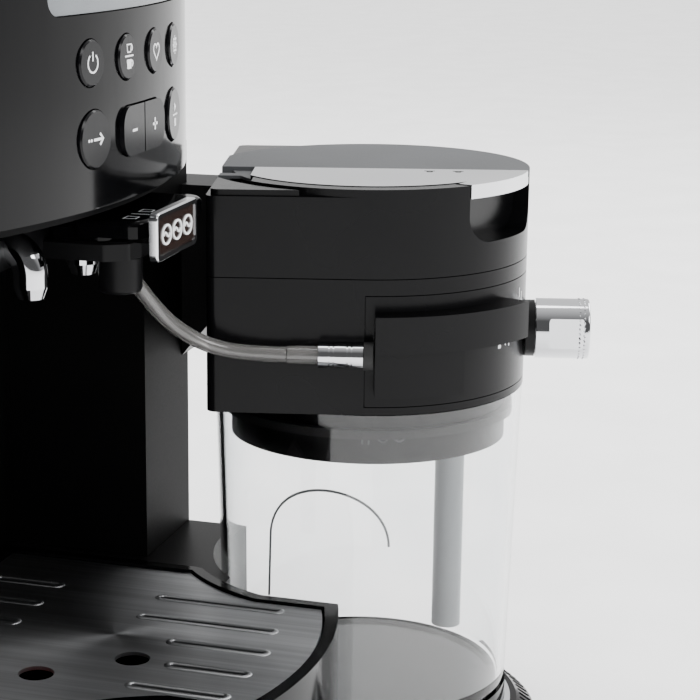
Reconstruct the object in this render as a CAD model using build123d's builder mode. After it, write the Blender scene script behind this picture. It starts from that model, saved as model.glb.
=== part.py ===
from build123d import *
from math import asin, cos, pi, radians, sin, sqrt, tan
import os

os.makedirs("parts", exist_ok=True)

# An automatic coffee machine with a docked milk jug. Millimetres, +Z up, front faces -Y.
# The origin lies on the table at the middle of the whole machine's footprint.

# main body
body_width = 240.0
body_x = -23.5  # centre plane of the body
body_back = 213.3
panel_radius = 215.0  # plan radius of the convex front panel
panel_front = -94.0  # front-most line of the panel
panel_axis_y = panel_front + panel_radius
panel_side_y = panel_axis_y - sqrt(panel_radius**2 - (body_width / 2) ** 2)
wall = 3.0
foot_height = 3.0
base_top = 59.5
panel_bottom = 204.0
shell_top = 350.0
deck_top = 355.0
overall_height = 365.0
seam = 0.3  # gap between neighbouring covers
body_corner = 18.0  # upright rear corners of the body

# recess under the panel, where the cup stands
pillar_front = -64.2
recess_half = 76.0
recess_back = -12.0
recess_wall = 2.5
liner_top = 203.7

# milk jug and its frother head
jug_x = 81.5
jug_y = -137.0
head_turn = 13.2  # the head is turned about the jug's axis, so its knob points a little outwards
head_radius = 54.0
head_rear = 51.5
head_bottom = 125.8
hood_bottom = 170.9
hood_deck = 197.2
lid_top = 200.0
lid_chord = -8.0  # where the bright trim meets the matt lid
trim_radius = 47.4
jug_rim_radius = 53.8
jug_foot_radius = 62.0
jug_wall = 2.4
jug_top = 125.5
jug_bottom = 20.0
jug_taper = 0.0266

# drip tray
tray_x = body_x
tray_top = 62.5
tray_bottom = 10.5
tray_half_front = 45.4
tray_half_rear = 64.5
tray_front_y = jug_y - 14.0
tray_corner_y = jug_y - 6.5
tray_back_y = -14.5
jug_clearance = 63.0  # radius of the tray's bay round the jug
bay_end_turn = 131.0  # where the bay ends, in degrees round the jug's axis

# coffee outlet
nozzle_spacing = 40.0
nozzle_y = jug_y + 71.5
nozzle_tip = 174.0

# milk hose
hose_diameter = 5.0
hose_inner = 3.0
port_z = 146.9
port_offset = 59.0  # the hose's connector lies this far to the left of the jug's axis


def head_plane(z):
    """Level plane on the jug's axis, with x to the head's right and y to its rear."""
    turn = radians(head_turn)
    return Plane(origin=(jug_x, jug_y, z), x_dir=(cos(turn), sin(turn), 0), z_dir=(0, 0, 1))


def head_point(x, y, z):
    """A point given in the head's own directions."""
    return head_plane(z).from_local_coords(Vector(x, y, 0))


def radial_plane(angle, radius, z):
    """Plane tangent to the head at an angle in its own directions, facing the axis."""
    turn = radians(angle + head_turn)
    origin = (jug_x + radius * cos(turn), jug_y + radius * sin(turn), z)
    return Plane(origin=origin, x_dir=(sin(turn), -cos(turn), 0), z_dir=(-cos(turn), -sin(turn), 0))


def panel_plane(offset, z, out=0.0):
    """Plane on the curved front panel, facing out, at an offset along x from its middle."""
    turn = asin(offset / panel_radius)
    radius = panel_radius + out
    origin = (body_x + radius * sin(turn), panel_axis_y - radius * cos(turn), z)
    return Plane(origin=origin, x_dir=(cos(turn), sin(turn), 0), z_dir=(sin(turn), -cos(turn), 0))


def body_plan(inset=0.0):
    """Outline of the body seen from above: a convex front and a square back."""
    half = body_width / 2 - inset
    radius = panel_radius - inset
    side_y = panel_axis_y - sqrt(radius**2 - half**2)
    with BuildSketch() as plan:
        with BuildLine():
            front = ThreePointArc(
                (body_x - half, side_y), (body_x, panel_axis_y - radius), (body_x + half, side_y)
            )
            Polyline(
                front @ 1,
                (body_x + half, body_back - inset),
                (body_x - half, body_back - inset),
                front @ 0,
            )
        make_face()
        fillet(plan.vertices().group_by(Axis.Y)[-1], body_corner - inset)
    return plan.sketch


def keep_front():
    """Take away everything behind the panel's side edges from the sketch in hand."""
    with Locations((body_x, panel_side_y + 150)):
        Rectangle(body_width + 10, 300, mode=Mode.SUBTRACT)


def head_plan(inset=0.0):
    """Outline of the frother head: round at the front, square at the rear."""
    radius = head_radius - inset
    rear = head_rear - inset
    with BuildSketch() as plan:
        Circle(radius)
        with Locations((0, rear / 2)):
            Rectangle(2 * radius, rear)
        with Locations((0, rear - 2 * radius)):
            Rectangle(4 * radius, 4 * radius, mode=Mode.INTERSECT)
        fillet(plan.vertices().group_by(Axis.Y)[-1], 3.5 - inset / 2)
    return plan.sketch


def tray_plan(inset=0.0):
    """Outline of the drip tray: a bowed nose, a bay round the jug, mirrored, and a wider rear."""
    front_half = tray_half_front - inset
    rear_half = tray_half_rear - inset
    bay = jug_clearance + inset
    reach = jug_x - tray_x
    bay_start = jug_y + sqrt(bay**2 - (reach - front_half) ** 2)
    bay_end_angle = radians(bay_end_turn)
    bay_end = (reach + bay * cos(bay_end_angle), jug_y + bay * sin(bay_end_angle))
    bay_middle_angle = radians(bay_end_turn + 15)
    bay_middle = (reach + bay * cos(bay_middle_angle), jug_y + bay * sin(bay_middle_angle))
    with BuildSketch() as plan:
        with BuildLine():
            ThreePointArc(
                (0, tray_front_y + inset),
                (front_half / 2, tray_front_y + inset + (tray_corner_y - tray_front_y) * 0.25),
                (front_half, tray_corner_y + inset),
            )
            Line((front_half, tray_corner_y + inset), (front_half, bay_start))
            ThreePointArc((front_half, bay_start), bay_middle, bay_end)
            Polyline(
                bay_end,
                (rear_half, bay_end[1] + 3),
                (rear_half, tray_back_y - inset),
                (0, tray_back_y - inset),
            )
            mirror(about=Plane.YZ)
        make_face()
    return plan.sketch.moved(Location((tray_x, 0, 0)))


# ---------- base, feet and cradle ----------

bay_half = tray_half_rear + 1.0
cradle_front = jug_y + 38.0
cradle_radius = 54.8
floor_top = foot_height + 4.0
inlet_x = body_x - 84.5
inlet_z = 32.0
inlet_width = 30.0
inlet_height = 23.0
foot_room = 9.5  # height that the jug's foot needs under the cradle
shoulder = body_width / 2 - bay_half
pocket_front = -36.0  # the hollows start behind the front feet
pocket_back = -14.0
shoulder_roof = 4.0
foot_radius = 11.0

with BuildSketch() as base_outline:
    with Locations((body_x, (cradle_front + body_back) / 2)):
        Rectangle(body_width, body_back - cradle_front)
    fillet(base_outline.vertices().group_by(Axis.Y)[-1], body_corner)
    with Locations((jug_x, jug_y)):
        Circle(cradle_radius, mode=Mode.SUBTRACT)

with BuildPart() as base:
    with BuildSketch(Plane.XY.offset(foot_height)):
        add(base_outline.sketch)
        # tongue under the tray's nose
        with Locations((tray_x, (tray_front_y + cradle_front) / 2 + 6)):
            Rectangle(2 * tray_half_front - 8, cradle_front - tray_front_y)
    extrude(amount=floor_top - foot_height)
    with BuildSketch(Plane.XY.offset(floor_top)):
        add(base_outline.sketch)
    extrude(amount=base_top - floor_top)
    # bay for the tray
    with BuildSketch(Plane.XY.offset(floor_top)):
        add(tray_plan(-0.6))
    extrude(amount=base_top, mode=Mode.SUBTRACT)
    # hollow behind the tray bay
    with BuildSketch(Plane.XY.offset(floor_top)):
        with Locations((body_x, (recess_back + body_back) / 2)):
            RectangleRounded(body_width - 2 * wall, body_back - recess_back - 2 * wall, 14)
    extrude(amount=base_top, mode=Mode.SUBTRACT)
    # the shoulders are open underneath
    with BuildSketch(Plane.XY):
        with Locations((body_x, (pocket_front + pocket_back) / 2)):
            with GridLocations(body_width - shoulder, 1, 2, 1):
                Rectangle(shoulder - 8, pocket_back - pocket_front)
    extrude(amount=base_top - shoulder_roof, mode=Mode.SUBTRACT)
    # runners for the tray
    with BuildSketch(Plane.XY.offset(floor_top)):
        with Locations((tray_x, -85)):
            with GridLocations(50, 1, 2, 1):
                Rectangle(3, 110)
    extrude(amount=tray_bottom - 0.05 - floor_top)
    # room for the jug's foot
    with BuildSketch(Plane.XY):
        with Locations((jug_x, jug_y)):
            Circle(jug_foot_radius + 1)
    extrude(amount=foot_room, mode=Mode.SUBTRACT)
    # opening for the mains inlet
    with BuildSketch(Plane.XZ.offset(-body_back)):
        with Locations((inlet_x, inlet_z)):
            RectangleRounded(inlet_width + 0.6, inlet_height + 0.6, 2.3)
    extrude(amount=wall, mode=Mode.SUBTRACT)

with BuildPart() as feet:
    with BuildSketch(Plane.XY):
        with Locations((body_x, (body_back - 70) / 2)):
            with GridLocations(body_width - 50, body_back + 30, 2, 2):
                Circle(foot_radius)
    extrude(amount=foot_height)
    chamfer(feet.edges().group_by(Axis.Z)[0], 0.6)

# ---------- outer shell ----------

drawer_low = 62.5
drawer_high = 119.5
drawer_front = -6.0
drawer_back = 126.0

with BuildPart() as shell:
    with BuildSketch(Plane.XY.offset(base_top + seam)):
        add(body_plan())
        add(body_plan(wall), mode=Mode.SUBTRACT)
        with Locations((body_x, panel_side_y - 50)):
            Rectangle(body_width + 10, 100 + 2 * seam, mode=Mode.SUBTRACT)
    extrude(amount=shell_top - base_top - seam)
    # grounds drawer in the left wall
    with BuildSketch(Plane.YZ.offset(body_x - body_width / 2)):
        with Locations(((drawer_front + drawer_back) / 2, (drawer_low + drawer_high) / 2)):
            RectangleRounded(drawer_back - drawer_front, drawer_high - drawer_low, 4)
    extrude(amount=wall, mode=Mode.SUBTRACT)
    # vents in the back wall
    with BuildSketch(Plane.XZ.offset(-body_back)):
        with Locations((body_x - 40, 130)):
            with GridLocations(1, 9, 1, 8):
                SlotOverall(70, 3)
    extrude(amount=wall, mode=Mode.SUBTRACT)

# ---------- front panel ----------

display_low = 259.0
display_height = 46.0
display_width = 104.6
top_row_z = 245.5
low_row_z = 224.0
top_buttons = {"power": -33.0, "drink": -11.3, "favourite": 10.6, "settings": 32.2}
top_button_radius = 6.6
start_radius = 8.3
start_offset = 31.6
pair_width = 33.0
pair_height = 14.6
button_gap = 0.35
cap_proud = 0.9  # the caps stand this far out of the panel
cap_depth = 4.4
stem_radius = 2.0
stem_length = 3.6
cut_start = 5.0  # cuts through the panel start this far in front of it
cut_depth = 12.0
display_cut = 30.0  # the wide display needs a deeper cut through the curve

with BuildPart() as front_panel:
    with BuildSketch(Plane.XY.offset(panel_bottom)):
        add(body_plan())
        add(body_plan(wall), mode=Mode.SUBTRACT)
        keep_front()
    extrude(amount=shell_top - panel_bottom)
    # the lower edge is turned inwards
    with BuildSketch(Plane.XY.offset(panel_bottom)):
        add(body_plan(wall))
        add(body_plan(wall + 9), mode=Mode.SUBTRACT)
        keep_front()
    extrude(amount=2.5)
    # display
    with BuildSketch(panel_plane(0, display_low + display_height / 2, cut_start)):
        RectangleRounded(display_width, display_height, 5)
    extrude(amount=-display_cut, mode=Mode.SUBTRACT)
    # upper buttons
    for offset in top_buttons.values():
        with BuildSketch(panel_plane(offset, top_row_z, cut_start)):
            Circle(top_button_radius + button_gap)
        extrude(amount=-cut_depth, mode=Mode.SUBTRACT)
    # lower buttons
    for offset in (-start_offset, start_offset):
        with BuildSketch(panel_plane(offset, low_row_z, cut_start)):
            Circle(start_radius + button_gap)
        extrude(amount=-cut_depth, mode=Mode.SUBTRACT)
    with BuildSketch(panel_plane(0, low_row_z, cut_start)):
        RectangleRounded(pair_width + 2 * button_gap, pair_height + 2 * button_gap, 6)
    extrude(amount=-cut_depth, mode=Mode.SUBTRACT)

with BuildPart() as display_window:
    with BuildSketch(Plane.XY.offset(display_low + 0.3)):
        add(body_plan(0.8))
        add(body_plan(wall - 0.2), mode=Mode.SUBTRACT)
        keep_front()
    extrude(amount=display_height - 0.6)
    with BuildSketch(panel_plane(0, display_low + display_height / 2, cut_start)):
        RectangleRounded(display_width - 0.6, display_height - 0.6, 4.7)
    extrude(amount=-display_cut, mode=Mode.INTERSECT)

with BuildPart() as display_module:
    with BuildSketch(Plane.XY.offset(display_low - 3)):
        add(body_plan(wall + 0.4))
        add(body_plan(wall + 5), mode=Mode.SUBTRACT)
        keep_front()
    extrude(amount=display_height + 6)
    with BuildSketch(panel_plane(0, display_low + display_height / 2, cut_start)):
        Rectangle(display_width + 6, display_height + 6)
    extrude(amount=-display_cut, mode=Mode.INTERSECT)

button_caps = {}


def round_button(offset, z, radius):
    """A domed cap with a stem that reaches the switch behind the panel."""
    with BuildPart() as cap:
        with BuildSketch(panel_plane(offset, z, cap_proud)):
            Circle(radius)
        extrude(amount=-cap_depth)
        chamfer(cap.edges().sort_by(Axis((0, 0, 0), panel_plane(offset, z).z_dir))[-1], 0.5)
        with BuildSketch(panel_plane(offset, z, cap_proud - cap_depth + 0.1)):
            Circle(stem_radius)
        extrude(amount=-stem_length)
    return cap


for name, offset in top_buttons.items():
    button_caps[name + "_button"] = round_button(offset, top_row_z, top_button_radius)
button_caps["program_button"] = round_button(-start_offset, low_row_z, start_radius)
button_caps["start_button"] = round_button(start_offset, low_row_z, start_radius)

for name, side in (("minus", -1), ("plus", 1)):
    with BuildPart() as half_cap:
        with BuildSketch(panel_plane(0, low_row_z, cap_proud)):
            RectangleRounded(pair_width, pair_height, 5.7)
            with Locations((-side * pair_width / 2, 0)):
                Rectangle(pair_width + 0.7, pair_height + 1, mode=Mode.SUBTRACT)
        extrude(amount=-cap_depth)
        with BuildSketch(panel_plane(0, low_row_z, cap_proud - cap_depth + 0.1)):
            with Locations((side * pair_width / 4, 0)):
                Circle(stem_radius)
        extrude(amount=-stem_length)
    button_caps[name + "_button"] = half_cap

with BuildPart() as control_board:
    with BuildSketch(Plane.XY.offset(213)):
        with Locations((body_x, panel_front + 19)):
            Rectangle(100, 1.6)
    extrude(amount=41)

# ---------- recess liner and docking arm ----------

with BuildPart() as recess_liner:
    with BuildSketch(Plane.XY.offset(base_top + 0.1)):
        with BuildLine():
            half = body_width / 2
            Polyline(
                (body_x - half, panel_side_y - 0.2),
                (body_x - half, pillar_front),
                (body_x - recess_half, pillar_front),
                (body_x - recess_half, recess_back),
                (body_x + recess_half, recess_back),
                (body_x + recess_half, pillar_front),
                (body_x + half, pillar_front),
                (body_x + half, panel_side_y - 0.2),
                (body_x + half - recess_wall, panel_side_y - 0.2),
                (body_x + half - recess_wall, pillar_front + recess_wall),
                (body_x + recess_half + recess_wall, pillar_front + recess_wall),
                (body_x + recess_half + recess_wall, recess_back + recess_wall),
                (body_x - recess_half - recess_wall, recess_back + recess_wall),
                (body_x - recess_half - recess_wall, pillar_front + recess_wall),
                (body_x - half + recess_wall, pillar_front + recess_wall),
                (body_x - half + recess_wall, panel_side_y - 0.2),
                close=True,
            )
        make_face()
    extrude(amount=liner_top - base_top - 0.1)
    # ceiling, up to the panel's turned-in edge
    with BuildSketch(Plane.XY.offset(liner_top - recess_wall)):
        add(body_plan(wall + 1))
        with Locations((body_x, recess_back + recess_wall + 200)):
            Rectangle(body_width + 10, 400, mode=Mode.SUBTRACT)
    extrude(amount=recess_wall)
    # way through for the coffee outlet's carriage
    with BuildSketch(Plane.XY.offset(liner_top - recess_wall)):
        with Locations((body_x, nozzle_y + 24)):
            Rectangle(45, 25)
    extrude(amount=recess_wall, mode=Mode.SUBTRACT)

relief_low = 188.8  # floor of the pocket that the lid's rear edge turns in
arm_low = 125.0
arm_high = 188.5
arm_left = jug_x + 8.5
arm_right = jug_x + 34.0
arm_side = body_x + body_width / 2 + 0.2


def behind_head(x):
    """Y of the head's rear face, with a small gap, at an x position."""
    return jug_y + (head_rear + 0.4 + (x - jug_x) * sin(radians(head_turn))) / cos(radians(head_turn))


with BuildPart() as docking_arm:
    with BuildSketch(Plane.XY.offset(arm_low)):
        with BuildLine():
            Polyline(
                (arm_left, pillar_front - 0.1),
                (arm_left, behind_head(arm_left)),
                (arm_right, behind_head(arm_right)),
                (arm_right, pillar_front + 12),
                (arm_side + 8, pillar_front + 40),
                (arm_side, pillar_front + 40),
                (arm_side, pillar_front - 0.1),
                close=True,
            )
        make_face()
    extrude(amount=arm_high - arm_low)
    chamfer(docking_arm.edges().filter_by(Axis.Z).sort_by(Axis.X)[-1], 3)
    # sloping underside
    with BuildSketch(Plane.YZ.offset(arm_left - 1)):
        Polygon(
            (pillar_front + 1, arm_low - 1),
            (pillar_front - 30, arm_low - 1),
            (pillar_front - 30, arm_low + 36),
            align=None,
        )
    extrude(amount=arm_right - arm_left + 2, mode=Mode.SUBTRACT)

steam_port_z = 178.0
port_x = 34.0
with BuildPart() as steam_port:
    with BuildSketch(Plane(head_point(port_x, head_rear + 0.4, steam_port_z), z_dir=head_plane(0).y_dir)):
        Circle(4)
        Circle(1.5, mode=Mode.SUBTRACT)
    extrude(amount=-7)

# ---------- coffee outlet ----------

milk_outlet_x = body_x + 13
milk_outlet_y = nozzle_y - 15.5
block_low = 181.5
block_top = 187.5
badge_z = 193.6
badge_y = jug_y + 32.0
neck_height = 58.5
nozzle_radius = 5.2
nozzle_taper = 3.4  # height of the tapered tip
seat_depth = 5.0
seat_gap = 0.05
outlet_radius = 6.9
outlet_spigot = 5.0
outlet_length = 11.0
elbow_z = 189.5
elbow_radius = 8.0
cover_y = badge_y + 20.0
cover_thickness = 5.6

# outline of the block round the right nozzle and the milk outlet
block_outline = [
    (body_x + 3, nozzle_y + 8),
    (body_x + 3, nozzle_y - 14),
    (body_x + 7, nozzle_y - 20.8),
    (body_x + 13.5, nozzle_y - 22.5),
    (body_x + 26, nozzle_y - 22.5),
    (body_x + 37, nozzle_y - 16),
    (body_x + 37, nozzle_y + 8),
]
bridge_y = nozzle_y + 10

with BuildPart() as spout_carriage:
    with BuildSketch(Plane.XY.offset(block_low)):
        Polygon(*block_outline, align=None)
    extrude(amount=block_top - block_low)
    fillet(spout_carriage.edges().filter_by(Axis.Z), 2)
    chamfer(spout_carriage.edges().group_by(Axis.Z)[-1], 0.8)
    # bridge that joins the two nozzles behind the block
    with BuildSketch(Plane.XY.offset(block_low + 1.5)):
        with Locations((body_x, bridge_y)):
            RectangleRounded(62, 8, 2)
    extrude(amount=9)
    # neck that slides up into the machine
    with BuildSketch(Plane.XY.offset(block_low + 2)):
        with Locations((body_x, nozzle_y + 24)):
            RectangleRounded(44, 24, 3)
    extrude(amount=neck_height)
    # seat of the right nozzle
    with BuildSketch(Plane.XY.offset(block_low)):
        with Locations((body_x + nozzle_spacing / 2, nozzle_y)):
            Circle(nozzle_radius + seat_gap)
    extrude(amount=seat_depth, mode=Mode.SUBTRACT)
    # seat of the left nozzle
    with BuildSketch(Plane.XZ.offset(-bridge_y + 4)):
        with Locations((body_x - nozzle_spacing / 2, elbow_z)):
            Circle(nozzle_radius + seat_gap)
    extrude(amount=-20, mode=Mode.SUBTRACT)
    # seat of the milk outlet
    with BuildSketch(Plane.XY.offset(block_low)):
        with Locations((milk_outlet_x, milk_outlet_y)):
            Circle(outlet_spigot + seat_gap)
    extrude(amount=seat_depth, mode=Mode.SUBTRACT)

with BuildPart() as coffee_nozzles:
    # straight nozzle on the right
    with BuildSketch(Plane.XY.offset(nozzle_tip + nozzle_taper)):
        with Locations((body_x + nozzle_spacing / 2, nozzle_y)):
            Circle(nozzle_radius)
    extrude(amount=block_low + seat_depth - 0.1 - nozzle_tip - nozzle_taper)
    # bent nozzle on the left
    left_x = body_x - nozzle_spacing / 2
    with BuildLine() as elbow:
        FilletPolyline(
            (left_x, nozzle_y, nozzle_tip + nozzle_taper),
            (left_x, nozzle_y, elbow_z),
            (left_x, nozzle_y + 20, elbow_z),
            radius=elbow_radius,
        )
    with BuildSketch(Plane.XY.offset(nozzle_tip + nozzle_taper)):
        with Locations((left_x, nozzle_y)):
            Circle(nozzle_radius)
    sweep(path=elbow.wires()[0])
    # tapered tips
    for side in (-1, 1):
        with BuildSketch(Plane.XY.offset(nozzle_tip + nozzle_taper)):
            with Locations((body_x + side * nozzle_spacing / 2, nozzle_y)):
                Circle(nozzle_radius)
        with BuildSketch(Plane.XY.offset(nozzle_tip)):
            with Locations((body_x + side * nozzle_spacing / 2, nozzle_y)):
                Circle(nozzle_radius - 1.3)
        loft()
        with BuildSketch(Plane.XY.offset(nozzle_tip)):
            with Locations((body_x + side * nozzle_spacing / 2, nozzle_y)):
                Circle(nozzle_radius - 2.3)
        extrude(amount=8, mode=Mode.SUBTRACT)

# cover that reaches forward over the block and carries the badge
with BuildPart() as spout_cover:
    with BuildSketch(Plane.XY.offset(block_top + 0.2)):
        with Locations((body_x + 16, nozzle_y - 5)):
            RectangleRounded(24, 22, 5)
    extrude(amount=3.8)
    with BuildSketch(Plane.XY.offset(block_top + 4)):
        with Locations((body_x + 17.5, cover_y)):
            RectangleRounded(54, 27, 6)
    extrude(amount=cover_thickness)
    fillet(spout_cover.edges().group_by(Axis.Z)[-1], 2)

badge_width = 34.5
badge_height = 14.6
badge_plane = Plane(origin=(body_x, badge_y, badge_z), x_dir=(1, 0, 0), z_dir=(0, -1, 0))
with BuildPart() as badge_frame:
    with BuildSketch(badge_plane):
        RectangleRounded(badge_width, badge_height, 2.2)
        RectangleRounded(badge_width - 3.4, badge_height - 3.4, 1.2, mode=Mode.SUBTRACT)
    extrude(amount=-2.6)
    fillet(badge_frame.faces().sort_by(Axis.Y)[0].outer_wire().edges(), 0.6)
    with BuildSketch(badge_plane.offset(-1.2)):
        RectangleRounded(badge_width - 1, badge_height - 1, 2)
    extrude(amount=-1.4)
    # arms back to the outlet's body
    with BuildSketch(badge_plane.offset(-2.6)):
        with Locations((12, 1.8 - badge_height / 2)):
            Rectangle(9, 1.8)
    extrude(amount=-14.3)
    with BuildSketch(badge_plane.offset(-2.6)):
        with Locations((8, 1)):
            Rectangle(16, 1.8)
    extrude(amount=-3.8)

with BuildPart() as badge_plate:
    with BuildSketch(badge_plane.offset(-1.15)):
        RectangleRounded(badge_width - 3.6, badge_height - 3.6, 1.1)
    extrude(amount=0.8)

hose_start = (milk_outlet_x + 4.0, milk_outlet_y - 3.5, 172.6)
hose_second = (jug_x - 82.6, jug_y + 49.4, 165.0)
with BuildPart() as milk_outlet:
    with BuildSketch(Plane.XY.offset(block_low - 0.05)):
        with Locations((milk_outlet_x, milk_outlet_y)):
            Circle(outlet_spigot)
    extrude(amount=5.8)
    with BuildSketch(Plane.XY.offset(block_low - 0.05)):
        with Locations((milk_outlet_x, milk_outlet_y)):
            Circle(outlet_radius)
    extrude(amount=-outlet_length)
    fillet(milk_outlet.edges().group_by(Axis.Z)[0], 1.5)
    # socket of the hose
    with BuildSketch(Plane(origin=hose_start, z_dir=Vector(*hose_second) - Vector(*hose_start))):
        Circle(hose_diameter / 2 + 0.02)
    extrude(amount=12, mode=Mode.SUBTRACT)

# ---------- milk hose ----------

connector_length = 14.5
connector_radius = 4.1
connector_bore = 1.4
hose_end_length = 10.0
hose_finish = head_point(-port_offset, connector_length + hose_end_length, port_z)
hose_last = head_point(-port_offset, 37.2, port_z)
hose_route = [
    hose_start,
    hose_second,
    (jug_x - 77.4, jug_y + 43.6, 156.6),
    (jug_x - 71.6, jug_y + 34.4, 149.8),
    (hose_last.X, hose_last.Y, hose_last.Z),
    (hose_finish.X, hose_finish.Y, hose_finish.Z),
]


def corner_radii(route):
    """The largest tidy arc at each corner: 0.45 of the shorter run over the tangent of half the turn."""
    radii = []
    points = [Vector(*point) for point in route]
    for before, here, after in zip(points, points[1:], points[2:]):
        turn = radians((here - before).get_angle(after - here))
        shorter = min((here - before).length, (after - here).length)
        radii.append(0.45 * shorter / tan(turn / 2))
    return radii


hose_radii = corner_radii(hose_route)
print("hose radii", [round(radius, 1) for radius in hose_radii])

with BuildPart() as milk_hose:
    with BuildLine() as hose_line:
        FilletPolyline(*hose_route, radius=hose_radii)
    with BuildSketch(Plane(origin=hose_line.line @ 0, z_dir=hose_line.line % 0)):
        Circle(hose_diameter / 2)
        Circle(hose_inner / 2, mode=Mode.SUBTRACT)
    sweep()
ring_area = pi * ((hose_diameter / 2) ** 2 - (hose_inner / 2) ** 2)
hose_length = sum(edge.length for edge in hose_line.edges())
print("hose length", round(hose_length, 1))
print("hose volume", round(milk_hose.part.volume, 1), "expected", round(ring_area * hose_length, 1))


def hose_plane(y):
    """Plane across the straight end of the hose, y measured to the head's rear."""
    return Plane(origin=head_point(-port_offset, y, port_z), z_dir=head_plane(0).y_dir)


with BuildPart() as hose_end:
    with BuildSketch(hose_plane(connector_length)):
        Circle(2.9)
        Circle(connector_bore, mode=Mode.SUBTRACT)
    extrude(amount=hose_end_length)

with BuildPart() as hose_connector:
    with BuildSketch(hose_plane(0.2)):
        Circle(connector_radius)
        Circle(connector_bore, mode=Mode.SUBTRACT)
    extrude(amount=connector_length - 0.2)
    # turned grooves
    for groove in (3.6, 5.0, 9.4, 10.8):
        with BuildSketch(hose_plane(groove)):
            Circle(connector_radius + 0.1)
            Circle(connector_radius - 0.5, mode=Mode.SUBTRACT)
        extrude(amount=0.5, mode=Mode.SUBTRACT)

# ---------- frother head ----------

recess_angle = 240.8
grip_low = 180.5
lid_low = 197.7
hinge_y = 49.0
hinge_z = 195.2
pin_radius = 1.0
knuckle_radius = 2.3
lip_size = (14.0, 41.0)  # lip of the trim over the finger grip
lip_reach = 52.0
trim_edge = lid_chord - 0.15

with BuildPart() as hood:
    with BuildSketch(head_plane(hood_bottom)):
        add(head_plan())
    extrude(amount=hood_deck - hood_bottom)
    with BuildSketch(head_plane(hood_bottom)):
        add(head_plan(2.6))
    extrude(amount=hood_deck - 2.6 - hood_bottom, mode=Mode.SUBTRACT)
    # sloping shoulder beside the bright trim
    with BuildSketch(head_plane(hood_deck)):
        Circle(head_radius)
        Circle(trim_radius + 0.8, mode=Mode.SUBTRACT)
        with Locations((lid_chord - 0.3 - 50, -12)):
            Rectangle(100, 100, mode=Mode.INTERSECT)
    extrude(amount=lid_top - 0.2 - hood_deck)
    # square rear corners stand a little higher
    with BuildSketch(head_plane(hood_deck)):
        add(head_plan(1.4))
        Circle(head_radius + 2.8, mode=Mode.SUBTRACT)
        with Locations((0, 50)):
            Rectangle(200, 100, mode=Mode.INTERSECT)
    extrude(amount=lid_top - 0.8 - hood_deck)
    # material round the finger grip
    with BuildSketch(head_plane(grip_low - 2.4)):
        with PolarLocations(47.5, 1, recess_angle):
            Rectangle(12, 47)
        Circle(head_radius - 1, mode=Mode.INTERSECT)
    extrude(amount=hood_deck - grip_low + 2.4)
    # finger grip
    with BuildSketch(radial_plane(recess_angle, head_radius + 3, grip_low + 15)):
        RectangleRounded(42.4, 30, 9)
        with Locations((0, 10)):
            Rectangle(42.4, 20)
    extrude(amount=13, mode=Mode.SUBTRACT)
    # relief under the lid's rear edge
    with BuildSketch(head_plane(relief_low)):
        with Locations((0, head_rear - 1)):
            Rectangle(56, 16)
    extrude(amount=20, mode=Mode.SUBTRACT)
    # pocket wall in front of and below the relief
    with BuildSketch(head_plane(relief_low - 2.4)):
        with Locations((0, head_rear - 6.5)):
            Rectangle(61, 13)
        add(head_plan(0.4), mode=Mode.INTERSECT)
    extrude(amount=2.4)
    with BuildSketch(head_plane(relief_low)):
        with Locations((0, head_rear - 11)):
            Rectangle(61, 2.4)
    extrude(amount=hood_deck - relief_low)
    # ears for the hinge pin
    with BuildSketch(head_plane(relief_low)):
        with Locations((-24, hinge_y), (24, hinge_y)):
            Rectangle(4, 3.6)
    extrude(amount=hinge_z + 1.4 - relief_low)
    with BuildSketch(Plane(head_point(-30, hinge_y, hinge_z), z_dir=head_plane(0).x_dir)):
        Circle(pin_radius + 0.02)
    extrude(amount=60, mode=Mode.SUBTRACT)
    # steam inlet in the rear wall
    with BuildSketch(Plane(head_point(port_x, head_rear + 1, steam_port_z), z_dir=head_plane(0).y_dir)):
        Circle(4.4)
    extrude(amount=-9, mode=Mode.SUBTRACT)

with BuildPart() as lid_pin:
    with BuildSketch(Plane(head_point(-25.8, hinge_y, hinge_z), z_dir=head_plane(0).x_dir)):
        Circle(pin_radius)
    extrude(amount=51.6)

with BuildPart() as head_lid:
    with BuildSketch(head_plane(lid_low)):
        Circle(head_radius)
        with Locations((lid_chord - 50, 0)):
            Rectangle(100, 200, mode=Mode.SUBTRACT)
    extrude(amount=lid_top - lid_low)
    with BuildSketch(head_plane(lid_low)):
        Circle(trim_radius)
        with Locations((lid_chord - 50 + 0.1, 0)):
            Rectangle(100.2, 200, mode=Mode.INTERSECT)
    extrude(amount=1.0)
    with BuildSketch(head_plane(lid_low)):
        with Locations((-17, 45)):
            Rectangle(6, 12)
    extrude(amount=1.0)
    # straight rear edge
    with BuildSketch(head_plane(lid_low - 1)):
        with Locations((0, 50.6 + 10)):
            Rectangle(120, 20)
    extrude(amount=5, mode=Mode.SUBTRACT)
    # hinge knuckles
    for x in (-17, 17):
        knuckle_start = head_point(x - 3, hinge_y, hinge_z)
        with BuildSketch(Plane(knuckle_start, x_dir=head_plane(0).y_dir, z_dir=head_plane(0).x_dir)):
            Circle(knuckle_radius)
            with Locations((0, 1.4)):
                Rectangle(2 * knuckle_radius, 2.8)
            Circle(pin_radius + 0.05, mode=Mode.SUBTRACT)
        extrude(amount=6)

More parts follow.
